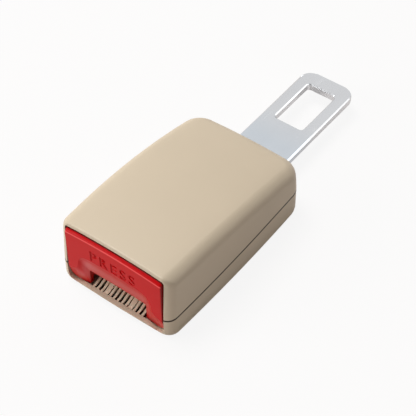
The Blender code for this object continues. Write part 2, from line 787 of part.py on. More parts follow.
def arm_outline():
    """Side outline of a lifting arm. Its ramp runs parallel to the ear's own path."""
    slope = LIFT_ANGLE * (PIVOT_Y - EAR_Y) / BUTTON_TRAVEL
    reach = (EAR_RADIUS + GAP) * math.sqrt(1 + slope * slope)
    ramp_end = EAR_Y + EAR_RADIUS
    ramp_start = EAR_Y - BUTTON_TRAVEL - EAR_RADIUS

    def ramp_z(y):
        return PIVOT_Z - reach + slope * (EAR_Y - y)

    start = BUTTON_FACE - SUNK
    return [
        (along(start), ARM_BOTTOM),
        (along(ARM_REACH - ARM_CHAMFER), ARM_BOTTOM),
        (along(ARM_REACH), ARM_BOTTOM + ARM_CHAMFER),
        (along(ARM_REACH), ramp_z(ramp_end) - ARM_CHAMFER),
        (along(ARM_REACH - ARM_CHAMFER), ramp_z(ramp_end)),
        (along(ramp_end), ramp_z(ramp_end)),
        (along(ramp_start), ramp_z(ramp_start)),
        (along(start), ramp_z(ramp_start)),
    ]


def make_press_button(material):
    button = finish_mesh("press_button", button_face(), material)
    join(button, button_skirt())
    extras = throat()
    lug_start = WALL + FRONT_LEAN + 2 * GAP
    lug_half = MOUTH_HALF_WIDTH - BUTTON_CLEARANCE
    for side in (-1, 1):
        inner, outer = side * ARM_INNER, side * (ARM_INNER + ARM_THICKNESS)
        add_bm(extras, prism(arm_outline(), min(inner, outer), max(inner, outer), "X"))
        near, far = side * (lug_half - SUNK), side * (lug_half + STOP_LUG_REACH)
        low = (min(near, far), along(lug_start), STOP_LUG_Z)
        high = (max(near, far), along(lug_start + STOP_LUG_LENGTH), STOP_LUG_Z + STOP_LUG_HEIGHT)
        add_bm(extras, box(low, high))
        base = (side * BUTTON_SPRING_X, along(BUTTON_FACE - SUNK), BUTTON_SPRING_Z)
        tip = (side * BUTTON_SPRING_X, along(BUTTON_FACE + SPRING_PIN_LENGTH), BUTTON_SPRING_Z)
        add_bm(extras, rod(base, tip, BUTTON_COIL_RADIUS - BUTTON_WIRE / 2 - GAP, 12))
    join(button, helper("button_extras", extras))
    cut(button, helper("funnel", funnel_cutter()))
    return button


# Steel pieces


def make_tongue(material):
    """One stamping: a wide root inside the housing and the blade with its window."""
    half, root = TONGUE_WIDTH / 2, TONGUE_ROOT_WIDTH / 2
    corners = [
        (-root, along(TONGUE_ROOT_START), TONGUE_ROOT_FRONT_CORNER),
        (root, along(TONGUE_ROOT_START), TONGUE_ROOT_FRONT_CORNER),
        (root, along(TONGUE_ROOT_END), TONGUE_ROOT_CORNER),
        (half, along(TONGUE_ROOT_END), TONGUE_SHOULDER_FILLET),
        (half, along(TONGUE_TIP), TONGUE_TIP_CORNER),
        (-half, along(TONGUE_TIP), TONGUE_TIP_CORNER),
        (-half, along(TONGUE_ROOT_END), TONGUE_SHOULDER_FILLET),
        (-root, along(TONGUE_ROOT_END), TONGUE_ROOT_CORNER),
    ]
    bm = prism(rounded_outline(corners, 6), TONGUE_Z, TONGUE_TOP, "Z")
    soften(bm, TONGUE_EDGE, along(HOUSING_LENGTH - 2 * WALL))
    tongue = finish_mesh("tongue_plate", bm, material)
    window_end = TONGUE_TIP - WINDOW_TO_TIP
    window = window_cutter(window_end - WINDOW_LENGTH, window_end)
    cut(tongue, helper("tongue_window", window))
    for side in (-1, 1):
        hole = rod(
            (side * RIVET_X, along(RIVET_Y), TONGUE_Z - OVERCUT),
            (side * RIVET_X, along(RIVET_Y), TONGUE_TOP + OVERCUT),
            RIVET_RADIUS + PIN_GAP,
        )
        cut(tongue, helper(f"tongue_rivet_hole_{'left' if side < 0 else 'right'}", hole))
    return tongue


def soften(bm, width, y_from):
    """Bevels the long edges of a plate beyond a given place."""
    edges = []
    for edge in bm.edges:
        ends = [vert.co for vert in edge.verts]
        flat = abs(ends[0].z - ends[1].z) < 1e-6
        if flat and max(co.y for co in ends) > y_from:
            edges.append(edge)
    bmesh.ops.bevel(bm, geom=edges, offset=width, segments=2, profile=0.5, affect="EDGES")


def window_cutter(start, end):
    """The window, with its upper and lower edges broken by a small chamfer."""
    half = WINDOW_WIDTH / 2
    stations = (
        (TONGUE_Z - SUNK, WINDOW_EDGE + SUNK),
        (TONGUE_Z + WINDOW_EDGE, 0.0),
        (TONGUE_TOP - WINDOW_EDGE, 0.0),
        (TONGUE_TOP + SUNK, WINDOW_EDGE + SUNK),
    )
    rings = []
    for z, grow in stations:
        corners = [
            (-half - grow, along(start) - grow, WINDOW_CORNER + grow),
            (half + grow, along(start) - grow, WINDOW_CORNER + grow),
            (half + grow, along(end) + grow, WINDOW_CORNER + grow),
            (-half - grow, along(end) + grow, WINDOW_CORNER + grow),
        ]
        rings.append([(x, y, z) for x, y in rounded_outline(corners, 4)])
    bm = bmesh.new()
    loft(bm, rings)
    return bm


def make_latch_frame(material):
    """A U-shaped stamping: base with a tooth hole and a long slot, and two upright cheeks."""
    corners = [
        (-CHEEK_OUTER, along(FRAME_FRONT), FRAME_CORNER),
        (CHEEK_OUTER, along(FRAME_FRONT), FRAME_CORNER),
        (CHEEK_OUTER, along(FRAME_REAR), FRAME_CORNER),
        (-CHEEK_OUTER, along(FRAME_REAR), FRAME_CORNER),
    ]
    base = prism(rounded_outline(corners, 3), FRAME_Z, FRAME_TOP, "Z")
    frame = finish_mesh("latch_frame", base, material)
    cheeks = bmesh.new()
    for side in (-1, 1):
        inner, outer = side * CHEEK_INNER, side * CHEEK_OUTER
        add_bm(cheeks, prism(cheek_outline(), min(inner, outer), max(inner, outer), "X"))
    join(frame, helper("cheeks", cheeks))
    cut(frame, helper("pivot_holes", pivot_drill()))
    tooth_half = TOOTH_WIDTH / 2 + TOOTH_SIDE_MARGIN
    low = (-tooth_half, along(TOOTH_FRONT - TOOTH_HOLE_MARGIN), FRAME_Z - OVERCUT)
    high = (tooth_half, along(TOOTH_FRONT + TOOTH_LENGTH + TOOTH_HOLE_MARGIN), FRAME_TOP + OVERCUT)
    tooth_hole = box(low, high)
    low = (-KEEL_HALF_WIDTH - GAP, along(EJECTOR_FRONT + KEEL_SETBACK), FRAME_Z - OVERCUT)
    high = (KEEL_HALF_WIDTH + GAP, along(TONGUE_ROOT_START), FRAME_TOP + OVERCUT)
    cut(frame, helper("tooth_hole", tooth_hole), helper("ejector_slot", box(low, high)))
    for side in (-1, 1):
        name = "left" if side < 0 else "right"
        pin_hole = rod(
            (side * LOCATING_PIN_X, along(LOCATING_PIN_Y), FRAME_Z - OVERCUT),
            (side * LOCATING_PIN_X, along(LOCATING_PIN_Y), FRAME_TOP + GAP / 2),
            LOCATING_PIN_RADIUS + GAP,
        )
        grown = RIVET_RADIUS + PIN_GAP
        sunk = grown + COUNTERSINK
        top = STEEL + GAP
        profile = ((0, -GAP), (sunk + GAP, -GAP), (grown, COUNTERSINK), (grown, top), (0, top))
        rivet_hole = turned(profile, (side * RIVET_X, along(RIVET_Y), FRAME_Z), (0, 0, 1), 20)
        cut(frame, helper(f"locating_hole_{name}", pin_hole), helper(f"frame_rivet_hole_{name}", rivet_hole))
    return frame


def pivot_drill():
    """Bores the cheeks and the latch's knuckle in one line."""
    start = (-CHEEK_OUTER - OVERCUT, along(PIVOT_Y), PIVOT_Z)
    return rod(start, (CHEEK_OUTER + OVERCUT, along(PIVOT_Y), PIVOT_Z), PIN_RADIUS + PIN_GAP)


def cheek_outline():
    """Side outline of a cheek, with a notch where the latch's ear passes."""
    notch_front = EAR_Y - EAR_RADIUS - EAR_NOTCH_MARGIN
    notch_rear = EAR_Y + EAR_RADIUS + EAR_NOTCH_MARGIN
    notch_floor = PIVOT_Z - EAR_RADIUS - 2 * GAP
    corners = [
        (along(CHEEK_START), FRAME_Z + STEEL / 2, 0),
        (along(CHEEK_END), FRAME_Z + STEEL / 2, 0),
        (along(CHEEK_END), CHEEK_TOP, CHEEK_CORNER),
        (along(notch_rear), CHEEK_TOP, EAR_NOTCH_CORNER),
        (along(notch_rear), notch_floor, EAR_NOTCH_ROOT),
        (along(notch_front), notch_floor, EAR_NOTCH_ROOT),
        (along(notch_front), CHEEK_TOP, EAR_NOTCH_CORNER),
        (along(CHEEK_START + CHEEK_SLOPE), CHEEK_TOP, CHEEK_CORNER),
        (along(CHEEK_START), FRAME_TOP + STEEL, CHEEK_CORNER / 2),
    ]
    return rounded_outline(corners, 3)


def make_latch(material):
    """The hinged plate: a rolled knuckle, two side ears and the tooth at its nose."""
    nose, wide = LATCH_NOSE_WIDTH / 2, LATCH_HALF_WIDTH
    corners = [
        (-nose, along(TOOTH_FRONT - LATCH_NOSE_REACH), LATCH_CORNER),
        (nose, along(TOOTH_FRONT - LATCH_NOSE_REACH), LATCH_CORNER),
        (nose, along(LATCH_SHOULDER), LATCH_CORNER),
        (wide, along(LATCH_SHOULDER), LATCH_CORNER),
        (wide, along(PIVOT_Y), 0),
        (-wide, along(PIVOT_Y), 0),
        (-wide, along(LATCH_SHOULDER), LATCH_CORNER),
        (-nose, along(LATCH_SHOULDER), LATCH_CORNER),
    ]
    plate = prism(rounded_outline(corners, 3), LATCH_Z, LATCH_Z + LATCH_THICKNESS, "Z")
    latch = finish_mesh("latch", plate, material)
    knuckle = rod(
        (-LATCH_HALF_WIDTH, along(PIVOT_Y), PIVOT_Z),
        (LATCH_HALF_WIDTH, along(PIVOT_Y), PIVOT_Z),
        PIN_RADIUS + PIN_GAP + KNUCKLE_WALL,
        24,
    )
    ears = rod(
        (-CHEEK_OUTER - EAR_REACH, along(EAR_Y), PIVOT_Z),
        (CHEEK_OUTER + EAR_REACH, along(EAR_Y), PIVOT_Z),
        EAR_RADIUS,
        16,
    )
    join(latch, helper("knuckle", knuckle), helper("ears", ears), helper("tooth", tooth()))
    cut(latch, helper("latch_bore", pivot_drill()))
    return latch


def tooth():
    """Turned-down tooth, sloped in front so that an incoming tongue lifts it."""
    bottom = FRAME_TOP - TOOTH_DEPTH_IN_FRAME
    rear = TOOTH_FRONT + TOOTH_LENGTH
    corners = [
        (along(rear - TOOTH_TIP_LENGTH), bottom),
        (along(rear), bottom),
        (along(rear), LATCH_Z + LATCH_THICKNESS / 2),
        (along(TOOTH_FRONT), LATCH_Z + LATCH_THICKNESS / 2),
        (along(TOOTH_FRONT), bottom + TOOTH_SLOPE_HEIGHT),
    ]
    return prism(corners, -TOOTH_WIDTH / 2, TOOTH_WIDTH / 2, "X")


def make_latch_pin(material):
    """A headed pin with a ring groove near its other end."""
    head_x = -(CHEEK_OUTER + GAP + PIN_HEAD_LENGTH)
    groove_start = CHEEK_OUTER + GAP - CLIP_PLAY - head_x
    groove_end = groove_start + CLIP_THICKNESS + 2 * CLIP_PLAY
    tail_end = groove_end + PIN_TAIL + PIN_CHAMFER
    profile = [
        (0, 0),
        (PIN_HEAD_RADIUS - PIN_CHAMFER, 0),
        (PIN_HEAD_RADIUS, PIN_CHAMFER),
        (PIN_HEAD_RADIUS, PIN_HEAD_LENGTH),
        (PIN_RADIUS, PIN_HEAD_LENGTH),
        (PIN_RADIUS, groove_start),
        (PIN_RADIUS - CLIP_GROOVE_DEPTH, groove_start),
        (PIN_RADIUS - CLIP_GROOVE_DEPTH, groove_end),
        (PIN_RADIUS, groove_end),
        (PIN_RADIUS, tail_end - PIN_CHAMFER),
        (PIN_RADIUS - PIN_CHAMFER, tail_end),
        (0, tail_end),
    ]
    finish_mesh("latch_pin", turned(profile, (head_x, along(PIVOT_Y), PIVOT_Z), (1, 0, 0), 20), material)


def make_pin_clip(material):
    """A push-on clip: a ring with a gap at one side."""
    bore = PIN_RADIUS - CLIP_GROOVE_DEPTH + CLIP_PLAY
    points = arc((0, 0), PIN_HEAD_RADIUS, CLIP_OUTER_GAP_ANGLE, 360 - CLIP_OUTER_GAP_ANGLE, 20)
    points += arc((0, 0), bore, 360 - CLIP_INNER_GAP_ANGLE, CLIP_INNER_GAP_ANGLE, 16)
    outline = [(along(PIVOT_Y) + u, PIVOT_Z + v) for u, v in points]
    start = CHEEK_OUTER + GAP
    finish_mesh("pin_clip", prism(outline, start, start + CLIP_THICKNESS, "X"), material)


def make_rivet(name, side, material):
    """A countersunk rivet with a domed upper head."""
    head = TONGUE_TOP + PIN_GAP - FRAME_Z
    shallow = COUNTERSINK - PIN_GAP
    profile = [
        (0, 0),
        (RIVET_RADIUS + shallow, 0),
        (RIVET_RADIUS, shallow),
        (RIVET_RADIUS, head),
    ]
    profile += [(RIVET_HEAD_RADIUS * out, head + RIVET_HEAD * up) for out, up in RIVET_DOME]
    profile.append((0, head + RIVET_HEAD))
    finish_mesh(name, turned(profile, (side * RIVET_X, along(RIVET_Y), FRAME_Z), (0, 0, 1), 20), material)


def make_ejector(material):
    """A sliding block with a keel in the frame's slot and a spigot for its spring."""
    half = EJECTOR_WIDTH / 2
    low_z, high_z = FRAME_TOP + GAP, TONGUE_TOP
    profile = rounded_outline(
        [
            (along(EJECTOR_FRONT), low_z, EJECTOR_FOOT_CORNER),
            (along(EJECTOR_REAR), low_z, 0),
            (along(EJECTOR_REAR), high_z, EJECTOR_CORNER),
            (along(EJECTOR_FRONT), high_z, EJECTOR_CORNER),
        ],
        3,
    )
    ejector = finish_mesh("ejector", prism(profile, -half, half, "X"), material)
    low = (-KEEL_HALF_WIDTH, along(EJECTOR_FRONT + KEEL_SETBACK + GAP), FRAME_Z + GAP)
    keel = box(low, (KEEL_HALF_WIDTH, along(EJECTOR_REAR - SUNK), low_z + SUNK))
    join(ejector, helper("ejector_keel", keel))
    spigot_start = (0, along(EJECTOR_REAR - SPIGOT_RADIUS), EJECTOR_SPRING_Z)
    spigot_end = (0, along(EJECTOR_REAR + SPIGOT_LENGTH), EJECTOR_SPRING_Z)
    join(ejector, helper("ejector_spigot", rod(spigot_start, spigot_end, SPIGOT_RADIUS, 12)))
    return ejector


def make_springs(material):
    start = (0, along(EJECTOR_REAR + GAP), EJECTOR_SPRING_Z)
    end = (0, along(TONGUE_ROOT_START - GAP), EJECTOR_SPRING_Z)
    make_spring("ejector_spring", start, end, EJECTOR_COIL_RADIUS, EJECTOR_WIRE, material)
    for side, name in ((-1, "button_spring_left"), (1, "button_spring_right")):
        x = side * BUTTON_SPRING_X
        start = (x, along(BUTTON_FACE + GAP), BUTTON_SPRING_Z)
        end = (x, along(BUTTON_SEAT - GAP), BUTTON_SPRING_Z)
        make_spring(name, start, end, BUTTON_COIL_RADIUS, BUTTON_WIRE, material)
    start = (0, along(LATCH_SPRING_Y), LATCH_Z + LATCH_THICKNESS + GAP)
    end = (0, along(LATCH_SPRING_Y), top_level(0, LATCH_SPRING_Y) - TOP_WALL - GAP)
    make_spring("latch_spring", start, end, LATCH_COIL_RADIUS, LATCH_WIRE, material)


def pivot_parent(name, location, *children):
    """An empty on a joint's axis that carries what moves with it."""
    empty = bpy.data.objects.new(name, None)
    bpy.context.scene.collection.objects.link(empty)
    empty.location = location
    bpy.context.view_layer.update()
    for child in children:
        child.parent = empty
        child.matrix_parent_inverse = empty.matrix_world.inverted()


def main():
    for obj in list(bpy.data.objects):
        bpy.data.objects.remove(obj, do_unlink=True)
    beige = plastic("beige_housing", (0.66, 0.54, 0.41), 0.45)
    red = plastic("red_button", (0.55, 0.02, 0.02), 0.25)
    plated = metal("plated_steel", (0.78, 0.79, 0.81), 0.18)
    zinc = metal("zinc_plated_steel", (0.62, 0.62, 0.60), 0.35)
    spring_steel = metal("spring_steel", (0.5, 0.5, 0.52), 0.3)
    black = plastic("black_slider", (0.03, 0.03, 0.03), 0.4)
    make_upper_cover(beige)
    make_lower_cover(beige)
    button = make_press_button(red)
    make_tongue(plated)
    make_latch_frame(zinc)
    latch = make_latch(zinc)
    make_latch_pin(zinc)
    make_pin_clip(spring_steel)
    make_rivet("rivet_left", -1, zinc)
    make_rivet("rivet_right", 1, zinc)
    ejector = make_ejector(black)
    make_springs(spring_steel)
    pivot_parent("button_guide", (0, along(0), ARM_BOTTOM), button)
    pivot_parent("latch_axis", (0, along(PIVOT_Y), PIVOT_Z), latch)
    pivot_parent("ejector_guide", (0, along(EJECTOR_FRONT), FRAME_TOP), ejector)


main()
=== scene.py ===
"""Seat belt extender: a beige push-button buckle housing with its own plated steel tongue."""

import math

import bpy
from mathutils import Matrix, Vector


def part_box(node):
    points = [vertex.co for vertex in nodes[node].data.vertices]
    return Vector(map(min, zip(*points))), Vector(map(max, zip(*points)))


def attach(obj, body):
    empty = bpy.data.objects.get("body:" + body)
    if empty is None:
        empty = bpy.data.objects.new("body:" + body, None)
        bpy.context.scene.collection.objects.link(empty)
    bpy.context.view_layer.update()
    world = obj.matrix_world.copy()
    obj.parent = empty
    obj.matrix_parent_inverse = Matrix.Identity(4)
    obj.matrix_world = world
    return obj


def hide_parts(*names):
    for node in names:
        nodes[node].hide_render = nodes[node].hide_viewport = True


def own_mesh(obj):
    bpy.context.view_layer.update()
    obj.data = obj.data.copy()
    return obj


bl_info = {
    "name": "Seat Belt Extender",
    "version": (1, 0, 0),
    "blender": (4, 5, 0),
    "location": "View3D > Sidebar > Extender",
    "description": "Finishes a seat belt extender over its solid model",
    "category": "Object",
}

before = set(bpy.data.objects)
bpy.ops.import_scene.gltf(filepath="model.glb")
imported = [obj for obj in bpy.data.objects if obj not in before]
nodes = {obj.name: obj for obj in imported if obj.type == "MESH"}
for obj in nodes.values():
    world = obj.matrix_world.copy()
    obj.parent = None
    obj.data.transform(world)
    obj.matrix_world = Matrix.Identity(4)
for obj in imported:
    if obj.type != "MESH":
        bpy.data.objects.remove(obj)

MM = 0.001
FRONT = -0.0359

# How close a solid's vertices are welded, and the angles, in degrees, below which its faces
# count as one flat face and edges are shaded smooth
WELD_DISTANCE = 0.004 * MM
FLAT_ANGLE = 0.3
SMOOTH_ANGLE = 32.0
WIRE_SMOOTH_ANGLE = 50.0

# The parting line runs level in the solids, and falls towards the front here as in the photo
PARTING = 10.9 * MM
PARTING_BAND = 0.35 * MM
PARTING_FALL = 1.4 * MM
PARTING_FALL_END = 54.0 * MM
CORNER_FALL = 0.7 * MM
CORNER_LENGTH = 3.5 * MM

# The bowed lip before the mouth. Its lower edge is lifted, most in the middle.
LIP_RAISE = 0.8 * MM
LIP_HALF_WIDTH = 17.0 * MM
LIP_DEPTH = 0.6 * MM
LIP_EDGE_LEVEL = 2.6 * MM

# The blade's edges are rounded from the first cut on, which is inside the housing.
# The second cut is short of the window.
BLADE_HALF_WIDTH = 10.5 * MM
BLADE_CUTS = (70.0 * MM, 93.0 * MM)
LONG_EDGE = 5.0 * MM
NEAR = 0.01 * MM

# Coils
COIL_STEPS = 18
COIL_SPACING = 2.0 * MM

# Node, body, joint, axis of the coil, how far the joint shortens it, and the end that stays on
# the body. The latch tilts under its spring, so that coil stays upright on the housing's boss,
# and its foot rises.
SPRINGS = (
    ("button_spring_left", "button", "button_press", 1, 5.5 * MM, "low"),
    ("button_spring_right", "button", "button_press", 1, 5.5 * MM, "low"),
    ("ejector_spring", "ejector", "ejector_slide", 1, 8.0 * MM, "low"),
    ("latch_spring", "housing", "latch_lift", 2, 4.0 * MM, "high"),
)

# Masks. Each pair is where a fade begins and where it ends. Widths count from the centre line,
# depths from the front rim, and levels from the underside.

# Housing: painted shade along the parting line and between the ribs, painted light on the rib
# tops, and the mouth that holds the ribs' shade and light
SEAM_SHADE_FADE = (0.28 * MM, 0.45 * MM)
RIB_START = 0.7 * MM
RIB_TOP = 3.0 * MM
RIB_SLOPE = 0.21
RIB_SHADE_DEPTH = (0.25 * MM, 0.9 * MM)
RIB_HIGHLIGHT_LEVEL = (2.2 * MM, 2.8 * MM)
THROAT_SHADE_DEPTH = (6.0 * MM, 8.5 * MM)
MOUTH_WIDTH = (10.3 * MM, 10.5 * MM)
MOUTH_DEPTH = (0.6 * MM, 1.4 * MM)
MOUTH_LEVEL = (9.4 * MM, 9.8 * MM)
GROOVE_SHADE_LEVEL = (1.0 * MM, 1.3 * MM)

# Button: the painted highlight along the face's upper edge, painted shade on the strip above
# it, painted shadow in the clearance round it, and the funnel. The crown is the edge's fall,
# per metre, with the width's square.
EDGE_LEVEL = 25.15 * MM
EDGE_CROWN = 2.8
EDGE_WIDTH = (0.12 * MM, 0.34 * MM)
EDGE_DEPTH = (0.2 * MM, 0.4 * MM)
BAND_DEPTH = (0.05 * MM, 0.3 * MM)
BAND_RISE = (0.1 * MM, 0.4 * MM)
GAP_DEPTH = (0.8 * MM, 1.05 * MM)
GAP_LEVEL = (23.0 * MM, 24.0 * MM)
GAP_WIDTH = (18.5 * MM, 18.9 * MM)
FUNNEL_DEPTH = (0.35 * MM, 1.0 * MM)
FUNNEL_LEVEL = (14.0 * MM, 15.5 * MM)

# Tongue: where the bluer plating near the housing ends
BLUE_END = (84.0 * MM, 98.0 * MM)

# Tones within the materials
# Painted shade for the parting line and for the grooves and throat between the ribs
PAINTED_SHADE_BROWN = (0.030, 0.019, 0.010, 1.0)
SCUFFED_RED = (0.75, 0.2, 0.19, 1.0)
# Painted shade on the sloping strip above the button face's upper edge
BAND_SHADE_RED = (0.52, 0.0, 0.002, 1.0)
# Painted highlight along the upper edge of the button's face
HIGHLIGHT_RED = (1.0, 0.14, 0.14, 1.0)
# Painted shadow in the clearance under the housing's rim and at the button's sides
GAP_SHADE_RED = (0.09, 0.002, 0.002, 1.0)
BLUE_NICKEL = (0.62, 0.69, 0.76, 1.0)
YELLOW_ZINC = (0.62, 0.60, 0.50, 1.0)

# Light. Fades, starts and tops are parts of a direction, from -1 to 1 along an axis.
WHITE = (1.0, 1.0, 1.0, 1.0)
TABLE_WHITE = (0.76, 0.715, 0.69, 1.0)
TABLE_SEEN = 0.89
TABLE_MIRRORED = 0.3
FILL_WHITE = (1.0, 0.92, 0.89, 1.0)
FILL_LEVEL = 0.42
FILL_LOSS = 0.78
FILL_FADE = (0.0, 0.55)
FILL_ACROSS = 0.85
FILL_ALONG = 0.3
ROOM_LEVEL = 0.32
BACKDROP_LEVEL = 0.5
BACKDROP_START = -0.35
BACKDROP_RISE = 2.0
HORIZON_TOP = 0.45
HORIZON_FALL = 4.0
PANEL_LEVEL = 1.2
PANEL_SIDE = (0.45, 0.62)
PANEL_FOOT = (0.1, 0.2)
LAMP_SIZE = 0.6

# Name, place, point that it faces, and power in watts
LAMPS = (
    ("key_lamp", (-0.45, 0.0, 1.2), (0.0, 0.02, 0.0), 10.2),
    ("front_lamp", (-0.7, -0.75, 0.42), (0.0, 0.0, 0.01), 4.6),
)

# Camera
PICTURE_WIDTH = 416
SENSOR_WIDTH = 36.0
PART_MIDDLE = (0.0, FRONT + 60.0 * MM, 10.0 * MM)


# Sizes and colours


def length_property(name, description, default, **limits):
    return bpy.props.FloatProperty(
        name=name,
        description=description,
        default=default,
        unit="LENGTH",
        **limits,
    )


def colour_property(name, description, default):
    return bpy.props.FloatVectorProperty(
        name=name,
        description=description,
        subtype="COLOR",
        default=default,
        min=0.0,
        max=1.0,
    )


class ExtenderSizes(bpy.types.PropertyGroup):
    """Sizes of the details that finish the moulded and stamped pieces."""

    shell_edge: length_property(
        "Shell edge",
        "Width of the rounding on the shells' sharp edges",
        0.25 * MM,
        min=0.0,
    )
    button_edge: length_property(
        "Button edge",
        "Width of the rounding on the button's sharp edges",
        0.2 * MM,
        min=0.0,
    )
    tongue_edge: length_property(
        "Tongue edge",
        "Width of the rounding left by tumbling on the tongue's edges",
        0.32 * MM,
        min=0.0,
    )
    blade_edge: length_property(
        "Blade edge",
        "Width of the rounding along the blade's two long sides",
        0.5 * MM,
        min=0.0,
    )
    wire: length_property(
        "Spring wire",
        "Diameter of the springs' wire",
        0.5 * MM,
    )
    letter_height: length_property(
        "Letter height",
        "Height of the capitals engraved in the button",
        4.4 * MM,
    )
    letter_depth: length_property(
        "Letter depth",
        "Depth of the engraving",
        0.3 * MM,
    )
    letters_width: length_property(
        "Word width",
        "Width of the engraved word across the button",
        17.8 * MM,
    )
    letters_z: length_property(
        "Word level",
        "Height of the word's middle above the underside",
        19.5 * MM,
    )


class ExtenderColours(bpy.types.PropertyGroup):
    """Colours of the plastics and metals."""

    housing: colour_property(
        "Housing",
        "Beige of the moulded shells",
        (0.640, 0.545, 0.405),
    )
    button: colour_property(
        "Button",
        "Red of the press button",
        (0.61, 0.005, 0.006),
    )
    tongue: colour_property(
        "Tongue",
        "Bright plating of the tongue",
        (0.74, 0.75, 0.77),
    )
    zinc: colour_property(
        "Zinc plating",
        "Plating of the inner stampings, pin and rivets",
        (0.60, 0.60, 0.58),
    )
    wire: colour_property(
        "Spring wire",
        "Drawn wire of the springs and the pin clip",
        (0.46, 0.46, 0.48),
    )
    slider: colour_property(
        "Slider",
        "Black plastic of the ejector",
        (0.018, 0.018, 0.02),
    )


class ExtenderStage(bpy.types.PropertyGroup):
    """Place and lens of the camera."""

    azimuth: bpy.props.FloatProperty(
        name="Azimuth",
        description="Direction of the camera about the vertical, in degrees",
        default=37.364,
    )
    elevation: bpy.props.FloatProperty(
        name="Elevation",
        description="Height of the camera above the horizon, in degrees",
        default=47.657,
    )
    roll: bpy.props.FloatProperty(
        name="Roll",
        description="Turn of the camera about its own axis, in degrees",
        default=-0.359,
    )
    distance: length_property(
        "Distance",
        "Distance of the camera from the point that it looks at",
        428.832 * MM,
    )
    focal_pixels: bpy.props.FloatProperty(
        name="Focal length in pixels",
        description="Focal length at a picture width of 416 pixels",
        default=1281.572,
    )
    shift_right: length_property(
        "Aim to the right",
        "How far right of the middle of the part the camera aims",
        -7.092 * MM,
    )
    shift_up: length_property(
        "Aim upwards",
        "How far above the middle of the part the camera aims",
        -10.487 * MM,
    )


# Shader nodes


class Value:
    """A node's output that sums can be written with."""

    def __init__(self, paint, socket):
        self.paint = paint
        self.socket = socket

    def maths(self, operation, first, second):
        sockets = {0: first, 1: second}
        node = self.paint.node("ShaderNodeMath", {"operation": operation}, sockets)
        return Value(self.paint, node.outputs[0])

    def __add__(self, other):
        return self.maths("ADD", self, other)

    def __radd__(self, other):
        return self.maths("ADD", other, self)

    def __sub__(self, other):
        return self.maths("SUBTRACT", self, other)

    def __rsub__(self, other):
        return self.maths("SUBTRACT", other, self)

    def __mul__(self, other):
        return self.maths("MULTIPLY", self, other)

    def __rmul__(self, other):
        return self.maths("MULTIPLY", other, self)

    def __truediv__(self, other):
        return self.maths("DIVIDE", self, other)

    def __rtruediv__(self, other):
        return self.maths("DIVIDE", other, self)

    def at_most(self, other):
        return self.maths("MINIMUM", self, other)

    def at_least(self, other):
        return self.maths("MAXIMUM", self, other)

    def size(self):
        """The value without its sign."""
        return self.maths("ABSOLUTE", self, 0.0)

    def clamped(self):
        return self.at_least(0.0).at_most(1.0)

    def from_to(self, start, end):
        """0 before the start, 1 after the end, and even between them."""
        return ((self - start) / (end - start)).clamped()

    def peaks(self, level, gain):
        """What rises above a level, made steeper."""
        return ((self - level) * gain).clamped()


class Paint:
    """The nodes of one material, or of the world."""

    def __init__(self, owner):
        owner.use_nodes = True
        self.tree = owner.node_tree
        self.principled = self.tree.nodes.get("Principled BSDF")
        self.where = self.node("ShaderNodeTexCoord")
        self.place = self.where.outputs["Object"]

    def node(self, kind, settings=None, sockets=None):
        made = self.tree.nodes.new(kind)
        for name, value in (settings or {}).items():
            setattr(made, name, value)
        for name, value in (sockets or {}).items():
            self.feed(made.inputs[name], value)
        return made

    def feed(self, target, value):
        if isinstance(value, Value):
            value = value.socket
        if isinstance(value, bpy.types.NodeSocket):
            self.tree.links.new(value, target)
        else:
            target.default_value = value

    def constants(self, **values):
        for name, value in values.items():
            self.principled.inputs[name.replace("_", " ")].default_value = value

    def surface(self, name, value):
        self.feed(self.principled.inputs[name], value)

    def parts(self, vector):
        """A vector as three values."""
        outputs = self.node("ShaderNodeSeparateXYZ", None, {0: vector}).outputs
        return [Value(self, part) for part in outputs]

    def axes(self):
        """Object coordinates as three values, with y counted from the front rim."""
        x, y, z = self.parts(self.place)
        return x, y - FRONT, z

    def rays(self):
        """1 on rays from the camera, and 1 on rays by way of a mirror or a clear body."""
        path = self.node("ShaderNodeLightPath").outputs
        mirrored = Value(self, path["Is Glossy Ray"])
        passed = Value(self, path["Is Transmission Ray"])
        return Value(self, path["Is Camera Ray"]), mirrored.at_least(passed)

    def stretched(self, along):
        """Object coordinates, scaled per axis, so that a pattern runs long in one direction."""
        node = self.node("ShaderNodeMapping", None, {"Vector": self.place, "Scale": along})
        return node.outputs["Vector"]

    def noise(self, scale, detail=2.0, roughness=0.5, vector=None):
        sockets = {
            "Vector": vector or self.place,
            "Scale": scale,
            "Detail": detail,
            "Roughness": roughness,
        }
        return Value(self, self.node("ShaderNodeTexNoise", None, sockets).outputs[0])

    def cells(self, scale):
        node = self.node("ShaderNodeTexVoronoi", None, {"Vector": self.place, "Scale": scale})
        return Value(self, node.outputs["Distance"])

    def blend(self, share, first, second):
        """A colour between two others."""
        sockets = {0: share, 6: first, 7: second}
        return self.node("ShaderNodeMix", {"data_type": "RGBA"}, sockets).outputs[2]

    def tones(self, share, colour, first, second):
        """One colour at a brightness between two others."""
        return self.blend(share, shade(colour, first), shade(colour, second))

    def bump(self, height, distance, strength):
        sockets = {"Height": height, "Distance": distance, "Strength": strength}
        return self.node("ShaderNodeBump", None, sockets).outputs["Normal"]


def new_paint(name):
    material = bpy.data.materials.new(name)
    return material, Paint(material)


def shade(colour, factor):
    return (*[min(1.0, part * factor) for part in colour], 1.0)


def clamp_number(number):
    return min(max(number, 0.0), 1.0)


def parting_level(depth, clamp):
    """Level of the parting line at a depth, both as numbers or both as shader values."""
    share = clamp(1.0 - depth / PARTING_FALL_END)
    corner = clamp(1.0 - depth / CORNER_LENGTH)
    return PARTING - share * PARTING_FALL - corner * CORNER_FALL


